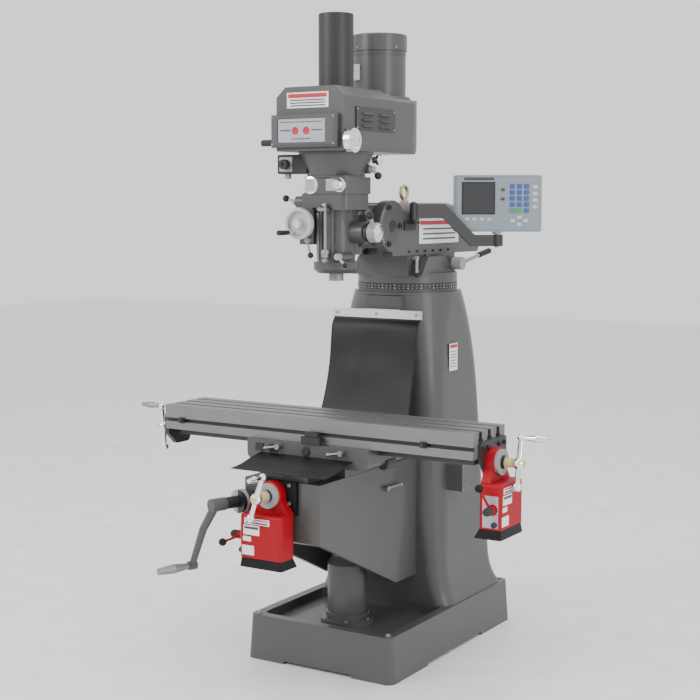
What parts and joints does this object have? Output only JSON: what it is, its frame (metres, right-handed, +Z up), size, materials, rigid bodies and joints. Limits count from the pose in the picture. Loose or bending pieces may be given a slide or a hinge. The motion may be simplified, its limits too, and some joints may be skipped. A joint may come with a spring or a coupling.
{
  "type": "vertical milling machine",
  "caption": "Knee-type vertical milling machine with swivelling turret, sliding ram, tilting variable-speed head, long T-slotted table, power feeds and a digital readout on an arm.",
  "frame": {"origin": "centre of the four floor bolts at the floor, under the base", "axes": "+Z up, +X along the table to the operator's right, +Y away from the operator"},
  "size_m": [1.638, 1.4796, 2.262],
  "materials": {
    "machine_paint": "semi-gloss grey enamel over cast iron",
    "ground_steel": "ground",
    "satin_steel": "satin",
    "chrome": "polished",
    "aluminium_trim": "satin",
    "cast_aluminium": "cast and turned",
    "brass_plate": "zinc and brass plated",
    "black_metal": "satin black",
    "black_plastic": "matt",
    "black_rubber": "glossy sheet",
    "red_paint": "gloss",
    "readout_grey": "fine texture"
  },
  "bodies": {
    "base": {"base_column": "machine_paint", "screw_pedestal": "machine_paint", "guard_rail": "aluminium_trim", "rear_guard": "black_rubber", "electric_box": "machine_paint"},
    "turret": {"turret_casting": "machine_paint"},
    "ram_pinion": {"ram_pinion": "ground_steel"},
    "ram_lever": {"ram_lever": "satin_steel"},
    "ram_lock_lever": {"ram_lock_lever": "satin_steel"},
    "ram": {"ram_casting": "machine_paint", "lifting_eye": "brass_plate", "dro_clamp": "black_metal"},
    "dro_arm": {"dro_arm": "black_metal"},
    "dro_display": {"dro_case": "readout_grey"},
    "knuckle": {"knuckle_casting": "machine_paint"},
    "head": {"quill_housing": "machine_paint", "depth_stop": "satin_steel", "feed_gearbox": "machine_paint", "back_gear_housing": "machine_paint", "belt_housing": "machine_paint", "speed_panel": "machine_paint", "motor": "machine_paint", "drawbar_cover": "black_metal", "switch_box": "black_plastic", "drive_belt": "black_rubber"},
    "spindle_pulley": {"spindle_pulley": "cast_aluminium"},
    "motor_shaft": {"motor_shaft": "cast_aluminium"},
    "quill": {"quill": "ground_steel"},
    "spindle": {"spindle": "ground_steel"},
    "quill_lever": {"quill_lever": "satin_steel"},
    "fine_feed_wheel": {"fine_feed_wheel": "chrome"},
    "feed_trip_lever": {"feed_trip_lever": "satin_steel"},
    "quill_lock": {"quill_lock": "satin_steel"},
    "speed_wheel": {"speed_wheel": "chrome"},
    "brake_lever": {"brake_lever": "black_plastic"},
    "feed_engage_lever": {"feed_engage_lever": "satin_steel"},
    "back_gear_lever": {"back_gear_lever": "satin_steel"},
    "switch_knob": {"switch_knob": "black_plastic"},
    "knee": {"knee_casting": "machine_paint", "y_feed_unit": "red_paint", "front_apron": "black_rubber"},
    "elevating_screw": {"elevating_screw": "ground_steel"},
    "knee_crank": {"knee_crank": "satin_steel"},
    "knee_crank_grip": {"knee_crank_grip": "satin_steel"},
    "knee_lock": {"knee_lock": "satin_steel"},
    "y_feed_lever": {"y_feed_lever": "satin_steel"},
    "cross_screw": {"cross_screw": "ground_steel", "cross_crank": "chrome"},
    "cross_crank_grip": {"cross_crank_grip": "chrome"},
    "saddle": {"saddle_casting": "machine_paint"},
    "table_lock_left": {"table_lock_left": "satin_steel"},
    "table_lock_right": {"table_lock_right": "satin_steel"},
    "table": {"table_slab": "ground_steel", "table_brackets": "machine_paint", "x_feed_unit": "red_paint"},
    "table_screw": {"table_screw": "ground_steel", "table_cranks": "chrome"},
    "left_crank_grip": {"left_crank_grip": "satin_steel"},
    "right_crank_grip": {"right_crank_grip": "chrome"},
    "x_feed_lever": {"x_feed_lever": "satin_steel"}
  },
  "joints": [
    {"name": "turret_swivel", "type": "hinge", "parent": "base", "child": "turret", "pos_m": [0, 0.165, 1.3], "axis": [0, 0, 1], "range_deg": [-180, 180]},
    {"name": "ram_slide", "type": "slide", "parent": "turret", "child": "ram", "axis": [0, -1, 0], "range_m": [-0.15, 0.15]},
    {"name": "ram_pinion_turn", "type": "hinge", "parent": "turret", "child": "ram_pinion", "pos_m": [0, 0.25, 1.399], "axis": [1, 0, 0], "range_deg": [-287, 287]},
    {"name": "ram_lever_swing", "type": "hinge", "parent": "turret", "child": "ram_lever", "pos_m": [0.166, 0.25, 1.399], "axis": [1, 0, 0], "range_deg": [-60, 10]},
    {"name": "ram_lock_swing", "type": "hinge", "parent": "turret", "child": "ram_lock_lever", "pos_m": [0.11, 0.03, 1.424], "axis": [1, 0, 0], "range_deg": [-45, 0]},
    {"name": "dro_arm_swivel", "type": "hinge", "parent": "ram", "child": "dro_arm", "pos_m": [0.128, -0.02, 1.56], "axis": [0, 0, 1], "range_deg": [-30, 10]},
    {"name": "dro_swivel", "type": "hinge", "parent": "dro_arm", "child": "dro_display", "pos_m": [0.336, 0.235, 1.51], "axis": [0, 0, 1], "range_deg": [-20, 4]},
    {"name": "head_nod", "type": "hinge", "parent": "ram", "child": "knuckle", "pos_m": [0, -0.139, 1.542], "axis": [1, 0, 0], "range_deg": [-25, 45]},
    {"name": "head_tilt", "type": "hinge", "parent": "knuckle", "child": "head", "pos_m": [0, -0.258, 1.542], "axis": [0, 1, 0], "range_deg": [-90, 90]},
    {"name": "quill_feed", "type": "slide", "parent": "head", "child": "quill", "axis": [0, 0, 1], "range_m": [-0.127, 0]},
    {"name": "spindle_turn", "type": "hinge", "parent": "quill", "child": "spindle", "pos_m": [0, -0.337, 1.4], "axis": [0, 0, 1], "continuous": true},
    {"name": "spindle_pulley_turn", "type": "hinge", "parent": "head", "child": "spindle_pulley", "pos_m": [0, -0.337, 1.88], "axis": [0, 0, 1], "continuous": true},
    {"name": "motor_turn", "type": "hinge", "parent": "head", "child": "motor_shaft", "pos_m": [0, -0.047, 1.88], "axis": [0, 0, 1], "continuous": true},
    {"name": "quill_lever_turn", "type": "hinge", "parent": "head", "child": "quill_lever", "pos_m": [0.115, -0.325, 1.523], "axis": [1, 0, 0], "range_deg": [-1, 386]},
    {"name": "fine_feed_turn", "type": "hinge", "parent": "head", "child": "fine_feed_wheel", "pos_m": [-0.073, -0.425, 1.553], "axis": [0, 1, 0], "continuous": true},
    {"name": "feed_trip_swing", "type": "hinge", "parent": "head", "child": "feed_trip_lever", "pos_m": [-0.054, -0.425, 1.496], "axis": [0, 1, 0], "range_deg": [-20, 20]},
    {"name": "quill_lock_turn", "type": "hinge", "parent": "head", "child": "quill_lock", "pos_m": [0.066, -0.418, 1.442], "axis": [0, 1, 0], "range_deg": [-45, 45]},
    {"name": "speed_wheel_turn", "type": "hinge", "parent": "head", "child": "speed_wheel", "pos_m": [0.135, -0.486, 1.828], "axis": [1, 0, 0], "continuous": true},
    {"name": "brake_swing", "type": "hinge", "parent": "head", "child": "brake_lever", "pos_m": [-0.135, -0.45, 1.826], "axis": [1, 0, 0], "range_deg": [-20, 20]},
    {"name": "feed_engage_swing", "type": "hinge", "parent": "head", "child": "feed_engage_lever", "pos_m": [-0.118, -0.4, 1.627], "axis": [1, 0, 0], "range_deg": [-20, 20]},
    {"name": "back_gear_swing", "type": "hinge", "parent": "head", "child": "back_gear_lever", "pos_m": [0.114, -0.3, 1.738], "axis": [1, 0, 0], "range_deg": [-60, 60]},
    {"name": "switch_turn", "type": "hinge", "parent": "head", "child": "switch_knob", "pos_m": [-0.145, -0.43, 1.755], "axis": [0, 1, 0], "range_deg": [-45, 45]},
    {"name": "knee_lift", "type": "slide", "parent": "base", "child": "knee", "axis": [0, 0, -1], "range_m": [-0.3937, 0], "deforming": ["rear_guard"]},
    {"name": "elevating_screw_turn", "type": "hinge", "parent": "knee", "child": "elevating_screw", "pos_m": [0, -0.267, 0.3], "axis": [0, 0, 1], "range_deg": [-27902, 1]},
    {"name": "knee_crank_turn", "type": "hinge", "parent": "knee", "child": "knee_crank", "pos_m": [-0.13906, -0.69498, 0.632], "axis": [-0.309, -0.9511, 0], "range_deg": [-55803, 1]},
    {"name": "knee_grip_turn", "type": "hinge", "parent": "knee_crank", "child": "knee_crank_grip", "pos_m": [-0.28352, -0.84783, 0.41717], "axis": [-0.309, -0.9511, 0], "continuous": true},
    {"name": "knee_lock_swing", "type": "hinge", "parent": "knee", "child": "knee_lock", "pos_m": [0.15, -0.257, 0.628], "axis": [1, 0, 0], "range_deg": [-40, 40]},
    {"name": "y_feed_lever_swing", "type": "hinge", "parent": "knee", "child": "y_feed_lever", "pos_m": [-0.107, -0.739, 0.526], "axis": [1, 0, 0], "range_deg": [-20, 20]},
    {"name": "saddle_slide", "type": "slide", "parent": "knee", "child": "saddle", "axis": [0, 1, 0], "range_m": [-0.19, 0.114], "deforming": ["front_apron"]},
    {"name": "cross_screw_turn", "type": "hinge", "parent": "knee", "child": "cross_screw", "pos_m": [-0.021, -0.689, 0.666], "axis": [0, 1, 0], "range_deg": [-13467, 8080]},
    {"name": "cross_grip_turn", "type": "hinge", "parent": "cross_screw", "child": "cross_crank_grip", "pos_m": [0.00472, -0.82, 0.7407], "axis": [0, 1, 0], "continuous": true},
    {"name": "table_lock_left_swing", "type": "hinge", "parent": "saddle", "child": "table_lock_left", "pos_m": [-0.109, -0.53, 0.794], "axis": [0, 1, 0], "range_deg": [-40, 40]},
    {"name": "table_lock_right_swing", "type": "hinge", "parent": "saddle", "child": "table_lock_right", "pos_m": [0.146, -0.53, 0.794], "axis": [0, 1, 0], "range_deg": [-40, 40]},
    {"name": "table_slide", "type": "slide", "parent": "saddle", "child": "table", "axis": [1, 0, 0], "range_m": [-0.3658, 0.3658]},
    {"name": "table_screw_turn", "type": "hinge", "parent": "table", "child": "table_screw", "pos_m": [0, -0.3975, 0.794], "axis": [1, 0, 0], "range_deg": [-25923, 25923]},
    {"name": "right_grip_turn", "type": "hinge", "parent": "table_screw", "child": "right_crank_grip", "pos_m": [0.77, -0.38147, 0.87646], "axis": [1, 0, 0], "continuous": true},
    {"name": "left_grip_turn", "type": "hinge", "parent": "table_screw", "child": "left_crank_grip", "pos_m": [-0.77, -0.40565, 0.87157], "axis": [1, 0, 0], "continuous": true},
    {"name": "x_feed_lever_swing", "type": "hinge", "parent": "table", "child": "x_feed_lever", "pos_m": [0.679, -0.489, 0.654], "axis": [0, 1, 0], "range_deg": [-20, 20]}
  ],
  "couplings": [
    {"joint": "ram_pinion_turn", "follows": "ram_slide", "rad_per_m": 33.333},
    {"joint": "quill_lever_turn", "follows": "quill_feed", "rad_per_m": -52.8},
    {"joint": "spindle_pulley_turn", "follows": "motor_turn", "ratio": 0.881},
    {"joint": "spindle_turn", "follows": "motor_turn", "ratio": 0.881},
    {"joint": "elevating_screw_turn", "follows": "knee_lift", "rad_per_m": 1236.8},
    {"joint": "knee_crank_turn", "follows": "knee_lift", "rad_per_m": 2473.7},
    {"joint": "cross_screw_turn", "follows": "saddle_slide", "rad_per_m": 1236.8},
    {"joint": "table_screw_turn", "follows": "table_slide", "rad_per_m": 1236.8}
  ]
}
